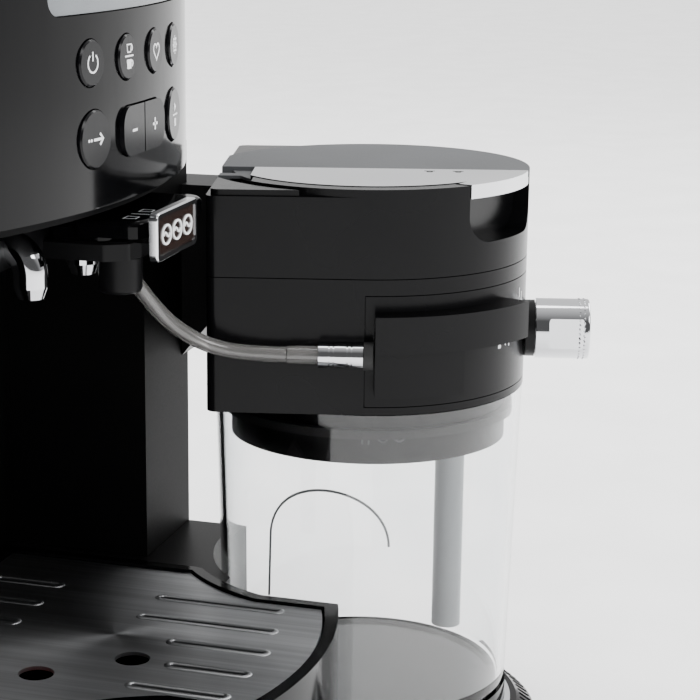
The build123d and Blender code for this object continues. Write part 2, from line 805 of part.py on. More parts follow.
with BuildPart() as lid_trim:
    with BuildSketch(head_plane(lid_low + 1.05)):
        Circle(trim_radius)
        with Locations((trim_edge - 50, -30 - 0.3)):
            Rectangle(100, 139, mode=Mode.INTERSECT)
    extrude(amount=lid_top - lid_low - 1.05)
    # lip over the finger grip
    lip_x = lip_reach * cos(radians(recess_angle))
    lip_y = lip_reach * sin(radians(recess_angle))
    with BuildSketch(head_plane(lid_low + 1.05)):
        Circle(head_radius - 0.2)
        Circle(trim_radius - 1, mode=Mode.SUBTRACT)
        with Locations(Location((lip_x, lip_y, 0), recess_angle)):
            Rectangle(*lip_size, mode=Mode.INTERSECT)
        with Locations((trim_edge - 50, 0)):
            Rectangle(100, 200, mode=Mode.INTERSECT)
    extrude(amount=lid_top - lid_low - 1.05)
    with BuildSketch(head_plane(lid_top - 4.6)):
        Circle(head_radius - 0.2)
        Circle(head_radius - 1.8, mode=Mode.SUBTRACT)
        with Locations(Location((lip_x, lip_y, 0), recess_angle)):
            Rectangle(*lip_size, mode=Mode.INTERSECT)
        with Locations((trim_edge - 50, 0)):
            Rectangle(100, 200, mode=Mode.INTERSECT)
    extrude(amount=4.6)

cover_low = 128.6
cover_high = 165.2
cover_depth = 2.6
knob_z = 143.8
knob_radius = 10.4
knob_length = 18.4
knob_shaft = 4.0
thumb_window = (12.0, 11.5)
block_split = 148.0  # where the valve block's ledge ends
block_start = 183.4  # left end of the valve block, in degrees

with BuildPart() as head_body:
    with BuildSketch(head_plane(head_bottom)):
        add(head_plan())
    extrude(amount=hood_bottom - seam - head_bottom)
    with BuildSketch(head_plane(head_bottom + 2.6)):
        add(head_plan(5.4))
    extrude(amount=60, mode=Mode.SUBTRACT)
    # way down for the suction tube and the milk
    with BuildSketch(head_plane(head_bottom)):
        Circle(41)
    extrude(amount=4, mode=Mode.SUBTRACT)
    # bed for the front cover
    with BuildSketch(head_plane(cover_low - seam)):
        Circle(head_radius + 2)
        Circle(head_radius - cover_depth - 0.1, mode=Mode.SUBTRACT)
        with Locations((0, -50)):
            Rectangle(200, 100, mode=Mode.INTERSECT)
    extrude(amount=cover_high - cover_low + 2 * seam, mode=Mode.SUBTRACT)
    # bore for the knob's shaft
    with BuildSketch(Plane(head_point(0, -44, knob_z), z_dir=-head_plane(0).y_dir)):
        Circle(knob_shaft + 0.05)
    extrude(amount=12, mode=Mode.SUBTRACT)

with BuildPart() as head_cover:
    with BuildSketch(head_plane(cover_low)):
        Circle(head_radius)
        Circle(head_radius - cover_depth, mode=Mode.SUBTRACT)
        with Locations((0, -50.3)):
            Rectangle(200, 100, mode=Mode.INTERSECT)
    extrude(amount=cover_high - cover_low)
    # valve block: an upper ledge and a shorter block under it
    ledge = (block_split, 160.2, block_start, 239, 62.4)
    lower_block = (133.2, block_split, block_start, 212, 61.0)
    for low, high, start, end, reach in (ledge, lower_block):
        with BuildSketch(head_plane(low)):
            with BuildLine():
                outer = CenterArc((0, 0), reach, start, end - start)
                inner = CenterArc((0, 0), head_radius - 1.5, start, end - start)
                Line(outer @ 0, inner @ 0)
                Line(outer @ 1, inner @ 1)
            make_face()
        extrude(amount=high - low)
    # bore for the knob's shaft
    with BuildSketch(Plane(head_point(0, -44, knob_z), z_dir=-head_plane(0).y_dir)):
        Circle(6)
    extrude(amount=16, mode=Mode.SUBTRACT)

with BuildPart() as connector_seal:
    with BuildSketch(hose_plane(0)):
        Circle(4.6)
        Circle(connector_bore, mode=Mode.SUBTRACT)
    extrude(amount=-3)

with BuildPart() as knob_collar:
    collar_plane = Plane(head_point(0, -49.9, knob_z), z_dir=-head_plane(0).y_dir)
    with BuildSketch(collar_plane.offset(4.2)):
        Circle(9.8)
        Circle(knob_shaft + 0.05, mode=Mode.SUBTRACT)
    extrude(amount=3.2)
    with BuildSketch(collar_plane.offset(1.5)):
        Circle(5.9)
        Circle(knob_shaft + 0.05, mode=Mode.SUBTRACT)
    extrude(amount=2.7)

with BuildPart() as froth_knob:
    knob_plane = Plane(head_point(0, -57.6, knob_z), x_dir=head_plane(0).x_dir, z_dir=-head_plane(0).y_dir)
    with BuildSketch(knob_plane):
        Circle(knob_radius)
    extrude(amount=knob_length)
    fillet(froth_knob.edges().sort_by(Axis.Y)[0], 0.8)
    # thumb window on each side
    for side in (-1, 1):
        window_middle = head_point(side * 12, -68, knob_z)
        inwards = head_plane(0).x_dir * -side
        with BuildSketch(Plane(window_middle, x_dir=head_plane(0).y_dir, z_dir=inwards)):
            RectangleRounded(*thumb_window, 2)
        extrude(amount=3, mode=Mode.SUBTRACT)
    # shaft
    with BuildSketch(knob_plane):
        Circle(knob_shaft)
    extrude(amount=-14)

collar_low = 107.7
tube_x = 3.0
tube_y = -29.5
tube_radius = 5.2
tube_wall = 1.2
collar_radius = 48.0
collar_bore = 45.2
with BuildPart() as jug_collar:
    with BuildSketch(head_plane(collar_low)):
        Circle(collar_radius)
        Circle(collar_bore, mode=Mode.SUBTRACT)
    extrude(amount=head_bottom - 0.1 - collar_low)
    with BuildSketch(head_plane(collar_low)):
        Circle(collar_bore + 0.2)
        with Locations((tube_x, tube_y)):
            Circle(tube_radius + 0.1, mode=Mode.SUBTRACT)
    extrude(amount=2.4)

with BuildPart() as jug_seal:
    with BuildSketch(head_plane(head_bottom - 9)):
        Circle(50.6)
        Circle(collar_radius + 0.02, mode=Mode.SUBTRACT)
    extrude(amount=3)

tube_bottom = 33.0
with BuildPart() as suction_tube:
    with BuildSketch(head_plane(tube_bottom)):
        with Locations((tube_x, tube_y)):
            Circle(tube_radius)
            Circle(tube_radius - tube_wall, mode=Mode.SUBTRACT)
    extrude(amount=138 - tube_bottom)

# ---------- milk jug ----------

glass_low = jug_rim_radius - jug_taper * (jug_top - jug_bottom)
jug_axis = Axis((jug_x, jug_y, 0), (0, 0, 1))
jug_section = Plane(origin=(jug_x, jug_y, 0), x_dir=(1, 0, 0), z_dir=(0, -1, 0))

with BuildPart() as milk_jug:
    with BuildSketch(jug_section):
        with BuildLine():
            Polyline(
                (0, 13),
                (glass_low - 4, 13),
                (glass_low - 0.4, 17),
                (glass_low, jug_bottom),
                (jug_rim_radius, jug_top),
                (jug_rim_radius - jug_wall, jug_top),
                (glass_low - jug_wall, jug_bottom),
                (glass_low - jug_wall - 2, 16.5),
                (0, 16.5),
                (0, 13),
            )
        make_face()
    revolve(axis=jug_axis)

with BuildPart() as jug_base:
    with BuildSketch(jug_section):
        with BuildLine():
            Polyline(
                (0, 0),
                (jug_foot_radius - 1, 0),
                (jug_foot_radius, 1),
                (jug_foot_radius, 2.4),
                (55.6, 7),
                (53.4, 7),
                (53.4, 5.4),
                (glass_low + 0.2, 5.4),
                (glass_low + 0.2, 15.4),
                (glass_low - 1.4, 12.8),
                (0, 12.8),
                (0, 0),
            )
        make_face()
    revolve(axis=jug_axis)

with BuildPart() as jug_ring:
    with BuildSketch(jug_section):
        with BuildLine():
            Polyline(
                (glass_low + 0.3, 5.5),
                (53.3, 5.5),
                (53.3, 7.4),
                (glass_low + 0.3, 8.2),
                (glass_low + 0.3, 5.5),
            )
        make_face()
    revolve(axis=jug_axis)

# ---------- drip tray ----------

tray_wall = 2.2
grid_thickness = 1.2
grid_top = tray_top - 1.0
rim_width = 4.4
slot_pitch = 17.7
slot_width = 1.6
float_x = tray_x - 36.5
float_y = jug_y + 65.5
grid_hole = 5.5
# each row of slots: its place, and its front and rear ends behind the jug's axis
slot_rows = ((-2, 5.8, 35), (-1, 5.0, 29), (0, 4.7, 35), (1, 7.6, 52), (2, 11.1, 52))

with BuildPart() as drip_tray:
    with BuildSketch(Plane.XY.offset(tray_bottom)):
        add(tray_plan())
    extrude(amount=tray_top - tray_bottom)
    with BuildSketch(Plane.XY.offset(tray_bottom + tray_wall)):
        add(tray_plan(tray_wall + 1.6))
    extrude(amount=tray_top, mode=Mode.SUBTRACT)
    # ledge that the grid rests on
    with BuildSketch(Plane.XY.offset(grid_top - grid_thickness)):
        add(tray_plan(rim_width - 0.2))
    extrude(amount=tray_top, mode=Mode.SUBTRACT)

with BuildPart() as drip_grid:
    with BuildSketch(Plane.XY.offset(grid_top - grid_thickness)):
        add(tray_plan(rim_width + 0.1))
        for row, front, rear in slot_rows:
            with Locations((tray_x + row * slot_pitch, jug_y + (front + rear) / 2)):
                SlotOverall(rear - front, slot_width, rotation=90, mode=Mode.SUBTRACT)
            with Locations((tray_x + row * slot_pitch, tray_back_y - 22)):
                SlotOverall(22, slot_width, rotation=90, mode=Mode.SUBTRACT)
        # float window and drain hole
        with Locations((float_x, float_y), (tray_x - 16.8, jug_y + 42)):
            Circle(grid_hole, mode=Mode.SUBTRACT)
    extrude(amount=grid_thickness)

with BuildPart() as level_float:
    with BuildSketch(Plane.XY.offset(tray_bottom + tray_wall + 0.3)):
        with Locations((float_x, float_y)):
            Circle(9)
    extrude(amount=6)
    with BuildSketch(Plane.XY.offset(tray_bottom + tray_wall + 6)):
        with Locations((float_x, float_y)):
            Circle(4.6)
    extrude(amount=grid_top - 5 - tray_bottom - tray_wall - 6)
    fillet(level_float.edges().group_by(Axis.Z)[-1], 1.5)

# ---------- grounds drawer ----------

left_face = body_x - body_width / 2

with BuildPart() as grounds_drawer:
    with BuildSketch(Plane.YZ.offset(left_face)):
        with Locations(((drawer_front + drawer_back) / 2, (drawer_low + drawer_high) / 2)):
            RectangleRounded(drawer_back - drawer_front - 2 * seam, drawer_high - drawer_low - 2 * seam, 3.7)
    extrude(amount=wall)
    drawer_length = 112.0
    with BuildSketch(Plane.XY.offset(drawer_low + 1.5)):
        with Locations((left_face + wall + drawer_length / 2 - 0.1, (drawer_front + drawer_back) / 2)):
            Rectangle(drawer_length, drawer_back - drawer_front - 6)
    extrude(amount=drawer_high - drawer_low - 3.5)
    with BuildSketch(Plane.XY.offset(drawer_low + 3.7)):
        with Locations((left_face + wall + drawer_length / 2, (drawer_front + drawer_back) / 2)):
            Rectangle(drawer_length - 4.4, drawer_back - drawer_front - 10.4)
    extrude(amount=drawer_high, mode=Mode.SUBTRACT)
    # finger recess along the top of the drawer's front
    with BuildSketch(Plane.YZ.offset(left_face)):
        with Locations(((drawer_front + drawer_back) / 2, drawer_high - 9)):
            SlotOverall(52, 9)
    extrude(amount=1.6, mode=Mode.SUBTRACT)

# ---------- inside ----------

brew_x = -55.0
brew_y = 84.0
plate_z = 205.0  # the brewing frame's top plate
plate_thickness = 7.0
cylinder_low = 132.0
cylinder_height = 60.0
cylinder_bore = 22.0
cylinder_wall = 4.0
piston_low = 186.0
piston_crown = 10.0
piston_top = 220.0

with BuildPart() as brew_frame:
    with BuildSketch(Plane.XY.offset(floor_top)):
        with Locations((brew_x + 44, brew_y)):
            Rectangle(4, 90)
    extrude(amount=plate_z)
    with BuildSketch(Plane.XY.offset(plate_z)):
        with Locations((brew_x + 6, brew_y)):
            Rectangle(80, 90)
        with Locations((brew_x, brew_y)):
            Circle(cylinder_bore - 3, mode=Mode.SUBTRACT)
    extrude(amount=plate_thickness)

with BuildPart() as brew_cylinder:
    with BuildSketch(Plane.XY.offset(cylinder_low)):
        with Locations((brew_x, brew_y)):
            Circle(cylinder_bore + cylinder_wall)
            Circle(cylinder_bore, mode=Mode.SUBTRACT)
    extrude(amount=cylinder_height)
    with BuildSketch(Plane.XY.offset(cylinder_low)):
        with Locations((brew_x + 32.5, brew_y)):
            Rectangle(18.9, 30)
        with Locations((brew_x, brew_y)):
            Circle(cylinder_bore + cylinder_wall - 1, mode=Mode.SUBTRACT)
    extrude(amount=cylinder_height)

with BuildPart() as brew_piston:
    with BuildSketch(Plane.XY.offset(piston_low)):
        with Locations((brew_x, brew_y)):
            Circle(cylinder_bore - 0.05)
    extrude(amount=piston_crown)
    with BuildSketch(Plane.XY.offset(piston_low + piston_crown)):
        with Locations((brew_x, brew_y)):
            Circle(8)
    extrude(amount=piston_top - piston_low - piston_crown)

grinder_low = 236.0
grinder_radius = 36.0
grinder_height = 50.0
burr_radius = 24.0
burr_teeth = 6
shaft_bore = 6.0
with BuildPart() as grinder_housing:
    with BuildSketch(Plane.XY.offset(grinder_low)):
        with Locations((brew_x, brew_y)):
            Circle(grinder_radius)
            Circle(grinder_radius - 5, mode=Mode.SUBTRACT)
    extrude(amount=grinder_height)
    with BuildSketch(Plane.XY.offset(grinder_low)):
        with Locations((brew_x, brew_y)):
            Circle(grinder_radius - 3)
            Circle(shaft_bore, mode=Mode.SUBTRACT)
    extrude(amount=4)
    # legs down to the brewing frame
    with BuildSketch(Plane.XY.offset(plate_z + plate_thickness)):
        with Locations((brew_x, brew_y)):
            with PolarLocations(28, 3):
                Circle(4)
    extrude(amount=grinder_low - plate_z - plate_thickness)

with BuildPart() as lower_burr:
    with BuildSketch(Plane.XY.offset(grinder_low + 8)):
        with Locations((brew_x, brew_y)):
            Circle(burr_radius)
    extrude(amount=12)
    with BuildSketch(Plane.XY.offset(grinder_low - 8)):
        with Locations((brew_x, brew_y)):
            Circle(shaft_bore - 0.05)
    extrude(amount=16)
    with BuildSketch(Plane.XY.offset(grinder_low + 17)):
        with Locations((brew_x, brew_y)):
            with PolarLocations(18, burr_teeth):
                Rectangle(9, 3, rotation=25)
    extrude(amount=3, mode=Mode.SUBTRACT)

pump_y = 180.0
pump_z = 36.0
# each stage of the pump: where it starts along x, its length and its radius
pump_stages = ((-85, 48, 17), (-37, 26, 10), (-11, 12, 4))
with BuildPart() as pump:
    for start, length, radius in pump_stages:
        with BuildSketch(Plane.YZ.offset(start)):
            with Locations((pump_y, pump_z)):
                Circle(radius)
        extrude(amount=length)
    with BuildSketch(Plane.XY.offset(floor_top)):
        with Locations((-61, pump_y)):
            Rectangle(36, 26)
    extrude(amount=16)

with BuildPart() as mains_inlet:
    inlet_face = Plane.XZ.offset(-body_back + 0.3)
    with BuildSketch(inlet_face):
        with Locations((inlet_x, inlet_z)):
            RectangleRounded(inlet_width, inlet_height, 2)
    extrude(amount=22)
    with BuildSketch(inlet_face):
        with Locations((inlet_x, inlet_z)):
            RectangleRounded(inlet_width - 5, inlet_height - 6, 1.5)
    extrude(amount=15, mode=Mode.SUBTRACT)
    with BuildSketch(inlet_face.offset(4)):
        with Locations((inlet_x - 6, inlet_z - 2), (inlet_x, inlet_z + 3), (inlet_x + 6, inlet_z - 2)):
            Rectangle(2, 4)
    extrude(amount=11)

# ---------- top deck, hopper, tank ----------

hopper_x = -58.0
hopper_y = 84.0
hopper_half_x = 48.0
hopper_half_y = 44.0
tank_x = 55.0
tank_y = 130.0
tank_half_x = 34.0
tank_half_y = 70.0
tank_low = 63.0
tank_wall = 2.5
valve_y = tank_y - 40
valve_radius = 9.0
throat_x = hopper_x + 3
throat_low = 290.0
throat_radius = 20.0
lid_gap = 0.3  # the top lids lie this far above the deck
top_lid_height = 5.0
top_lid_overhang = 3.0

with BuildPart() as top_deck:
    with BuildSketch(Plane.XY.offset(shell_top)):
        add(body_plan())
        with Locations((hopper_x, hopper_y)):
            RectangleRounded(2 * hopper_half_x, 2 * hopper_half_y, 14, mode=Mode.SUBTRACT)
        with Locations((tank_x, tank_y)):
            RectangleRounded(2 * tank_half_x + 1.4, 2 * tank_half_y + 1.4, 12, mode=Mode.SUBTRACT)
    extrude(amount=deck_top - shell_top)
    chamfer(top_deck.faces().sort_by(Axis.Z)[-1].outer_wire().edges(), 1)

with BuildPart() as cup_rail:
    with BuildSketch(Plane.XY.offset(deck_top)):
        with Locations((body_x, -24)):
            RectangleRounded(208, 88, 12)
            RectangleRounded(202, 82, 9, mode=Mode.SUBTRACT)
    extrude(amount=overall_height - deck_top)

with BuildPart() as bean_hopper:
    with BuildSketch(Plane.XY.offset(deck_top - 1)):
        with Locations((hopper_x, hopper_y)):
            RectangleRounded(2 * hopper_half_x - 1, 2 * hopper_half_y - 1, 13.5)
    with BuildSketch(Plane.XY.offset(throat_low)):
        with Locations((throat_x, hopper_y)):
            Circle(throat_radius)
    loft()
    with BuildSketch(Plane.XY.offset(deck_top - 1)):
        with Locations((hopper_x, hopper_y)):
            RectangleRounded(2 * hopper_half_x - 6, 2 * hopper_half_y - 6, 11)
    with BuildSketch(Plane.XY.offset(throat_low)):
        with Locations((throat_x, hopper_y)):
            Circle(throat_radius - 3)
    loft(mode=Mode.SUBTRACT)

with BuildPart() as hopper_lid:
    with BuildSketch(Plane.XY.offset(deck_top + lid_gap)):
        with Locations((hopper_x, hopper_y)):
            RectangleRounded(
                2 * (hopper_half_x + top_lid_overhang), 2 * (hopper_half_y + top_lid_overhang), 16
            )
    extrude(amount=top_lid_height)
    fillet(hopper_lid.edges().group_by(Axis.Z)[-1], 1.5)
    with BuildSketch(Plane.XY.offset(deck_top + lid_gap)):
        with Locations((hopper_x, hopper_y)):
            RectangleRounded(2 * hopper_half_x, 2 * hopper_half_y, 13)
    extrude(amount=3, mode=Mode.SUBTRACT)

with BuildPart() as water_tank:
    with BuildSketch(Plane.XY.offset(tank_low)):
        with Locations((tank_x, tank_y)):
            RectangleRounded(2 * tank_half_x, 2 * tank_half_y, 11)
    extrude(amount=deck_top - 1 - tank_low)
    with BuildSketch(Plane.XY.offset(tank_low + tank_wall)):
        with Locations((tank_x, tank_y)):
            RectangleRounded(2 * (tank_half_x - tank_wall), 2 * (tank_half_y - tank_wall), 9)
    extrude(amount=deck_top, mode=Mode.SUBTRACT)
    with BuildSketch(Plane.XY.offset(tank_low)):
        with Locations((tank_x, valve_y)):
            Circle(valve_radius)
    extrude(amount=tank_wall, mode=Mode.SUBTRACT)

with BuildPart() as tank_cradle:
    with BuildSketch(Plane.XY.offset(floor_top)):
        with Locations((tank_x, tank_y)):
            RectangleRounded(2 * tank_half_x, 2 * tank_half_y, 11)
    extrude(amount=tank_low - floor_top - 0.1)
    with BuildSketch(Plane.XY.offset(floor_top)):
        with Locations((tank_x, tank_y)):
            RectangleRounded(2 * tank_half_x - 8, 2 * tank_half_y - 8, 8)
    extrude(amount=tank_low - floor_top - 4, mode=Mode.SUBTRACT)
    with BuildSketch(Plane.XY.offset(floor_top)):
        with Locations((tank_x, valve_y)):
            Circle(valve_radius + 0.2)
    extrude(amount=tank_low, mode=Mode.SUBTRACT)

with BuildPart() as tank_lid:
    with BuildSketch(Plane.XY.offset(deck_top + lid_gap)):
        with Locations((tank_x, tank_y)):
            RectangleRounded(
                2 * (tank_half_x + top_lid_overhang), 2 * (tank_half_y + top_lid_overhang), 14
            )
    extrude(amount=top_lid_height)
    fillet(tank_lid.edges().group_by(Axis.Z)[-1], 1.5)
    with BuildSketch(Plane.XY.offset(deck_top + lid_gap)):
        with Locations((tank_x, tank_y)):
            RectangleRounded(2 * tank_half_x + 0.6, 2 * tank_half_y + 0.6, 11)
    extrude(amount=2, mode=Mode.SUBTRACT)

# ---------- export ----------

pieces = {
    "base": base,
    "feet": feet,
    "shell": shell,
    "front_panel": front_panel,
    "display_window": display_window,
    "display_module": display_module,
    **button_caps,
    "control_board": control_board,
    "recess_liner": recess_liner,
    "docking_arm": docking_arm,
    "steam_port": steam_port,
    "spout_carriage": spout_carriage,
    "coffee_nozzles": coffee_nozzles,
    "spout_cover": spout_cover,
    "badge_frame": badge_frame,
    "badge_plate": badge_plate,
    "milk_outlet": milk_outlet,
    "milk_hose": milk_hose,
    "hose_end": hose_end,
    "hose_connector": hose_connector,
    "connector_seal": connector_seal,
    "hood": hood,
    "lid_pin": lid_pin,
    "head_lid": head_lid,
    "lid_trim": lid_trim,
    "head_body": head_body,
    "head_cover": head_cover,
    "knob_collar": knob_collar,
    "froth_knob": froth_knob,
    "jug_collar": jug_collar,
    "jug_seal": jug_seal,
    "suction_tube": suction_tube,
    "milk_jug": milk_jug,
    "jug_base": jug_base,
    "jug_ring": jug_ring,
    "drip_tray": drip_tray,
    "drip_grid": drip_grid,
    "level_float": level_float,
    "grounds_drawer": grounds_drawer,
    "brew_frame": brew_frame,
    "brew_cylinder": brew_cylinder,
    "brew_piston": brew_piston,
    "grinder_housing": grinder_housing,
    "lower_burr": lower_burr,
    "pump": pump,
    "mains_inlet": mains_inlet,
    "top_deck": top_deck,
    "cup_rail": cup_rail,
    "bean_hopper": bean_hopper,
    "hopper_lid": hopper_lid,
    "water_tank": water_tank,
    "tank_cradle": tank_cradle,
    "tank_lid": tank_lid,
}

print(len(pieces), "pieces")
for name, piece in pieces.items():
    piece.part.label = name
    export_step(piece.part, f"parts/{name}.step")
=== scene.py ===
import math

import bmesh
import bpy
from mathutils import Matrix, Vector


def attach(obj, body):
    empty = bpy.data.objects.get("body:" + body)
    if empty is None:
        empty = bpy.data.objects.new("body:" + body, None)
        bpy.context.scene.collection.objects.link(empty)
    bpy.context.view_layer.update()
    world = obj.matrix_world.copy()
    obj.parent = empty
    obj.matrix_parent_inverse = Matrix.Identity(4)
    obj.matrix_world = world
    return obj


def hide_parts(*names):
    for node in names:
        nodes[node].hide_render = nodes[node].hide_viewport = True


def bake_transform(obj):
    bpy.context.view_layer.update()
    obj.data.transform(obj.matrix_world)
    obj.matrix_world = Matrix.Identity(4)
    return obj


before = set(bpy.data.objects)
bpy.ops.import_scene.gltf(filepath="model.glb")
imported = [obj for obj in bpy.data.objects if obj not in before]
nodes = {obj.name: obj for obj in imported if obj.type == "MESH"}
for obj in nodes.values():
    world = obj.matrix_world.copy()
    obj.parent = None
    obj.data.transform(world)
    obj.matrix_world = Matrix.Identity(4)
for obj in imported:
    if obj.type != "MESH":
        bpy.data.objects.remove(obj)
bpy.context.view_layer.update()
mm = 0.001

# camera: place in metres, angles in degrees, lens in mm
camera = {
    "place": (-0.5644, -0.3048, 0.2966),
    "heading": 18.19,
    "tilt": 13.67,
    "lens": 100.43,
    "shift": 0.1457,
}
heading = math.radians(camera["heading"])
tilt = math.radians(camera["tilt"])
cameraData = bpy.data.cameras.new("camera")
cameraData.lens = camera["lens"]
cameraData.shift_x = camera["shift"]
cameraObject = bpy.data.objects.new("camera", cameraData)
bpy.context.scene.collection.objects.link(cameraObject)
level = math.cos(tilt)
lookAlong = Vector((math.cos(heading) * level, math.sin(heading) * level, -math.sin(tilt)))
cameraObject.location = camera["place"]
cameraObject.rotation_euler = lookAlong.to_track_quat("-Z", "Y").to_euler()
bpy.context.scene.camera = cameraObject
print("camera placed")

# where the jug stands and how its head is turned, in mm and degrees
jug = {"x": 81.5, "y": -137.0, "turn": 13.2, "wallTop": 53.8, "rimHeight": 125.5, "taper": 0.0266}
panel = {"x": -23.5, "radius": 215.0, "axisY": 121.0, "capProud": 0.9}


def linear(hexColour):
    channels = []
    for i in (1, 3, 5):
        value = int(hexColour[i:i + 2], 16) / 255
        channels.append(value / 12.92 if value <= 0.04045 else ((value + 0.055) / 1.055) ** 2.4)
    return (*channels, 1.0)


def addNode(tree, kind, settings=None, links=None):
    node = tree.nodes.new(kind)
    for key, value in (settings or {}).items():
        if key in node.inputs:
            node.inputs[key].default_value = value
        else:
            setattr(node, key, value)
    for key, (source, output) in (links or {}).items():
        tree.links.new(source.outputs[output], node.inputs[key])
    return node


def makeFinish(name, s):
    material = bpy.data.materials.new(name)
    material.use_nodes = True
    tree = material.node_tree
    tree.nodes.clear()
    output = addNode(tree, "ShaderNodeOutputMaterial")
    shader = addNode(tree, "ShaderNodeBsdfPrincipled", s["shader"])
    tree.links.new(shader.outputs[0], output.inputs[0])
    coords = addNode(tree, "ShaderNodeTexCoord")
    # the size of a grain or patch in mm gives its pattern's scale
    mapped = addNode(tree, "ShaderNodeMapping", {"Scale": s.get("stretch", (1, 1, 1))},
                     {"Vector": (coords, "Object")})
    grain = addNode(tree, "ShaderNodeTexNoise", {"Scale": 1000 / s["grain"], "Detail": 3.0},
                    {"Vector": (mapped, 0)})
    patches = addNode(tree, "ShaderNodeTexNoise", {"Scale": 1000 / s.get("patch", 60), "Detail": 2.0},
                      {"Vector": (mapped, 0)})
    colour = addNode(tree, "ShaderNodeValToRGB", links={"Fac": (patches, 0)})
    for stop, position, shade in zip(colour.color_ramp.elements, (0.35, 0.7), ("dark", "light")):
        stop.position = position
        stop.color = linear(s[shade])
    tree.links.new(colour.outputs[0], shader.inputs["Base Color"])
    low, high = s["roughness"]
    rough = addNode(tree, "ShaderNodeMapRange", {"To Min": low, "To Max": high}, {"Value": (grain, 0)})
    tree.links.new(rough.outputs[0], shader.inputs["Roughness"])
    if s.get("bump"):
        bump = addNode(tree, "ShaderNodeBump",
                       {"Strength": s["bump"], "Distance": s.get("depth", 0.05) * mm}, {"Height": (grain, 0)})
        tree.links.new(bump.outputs[0], shader.inputs["Normal"])
    return material


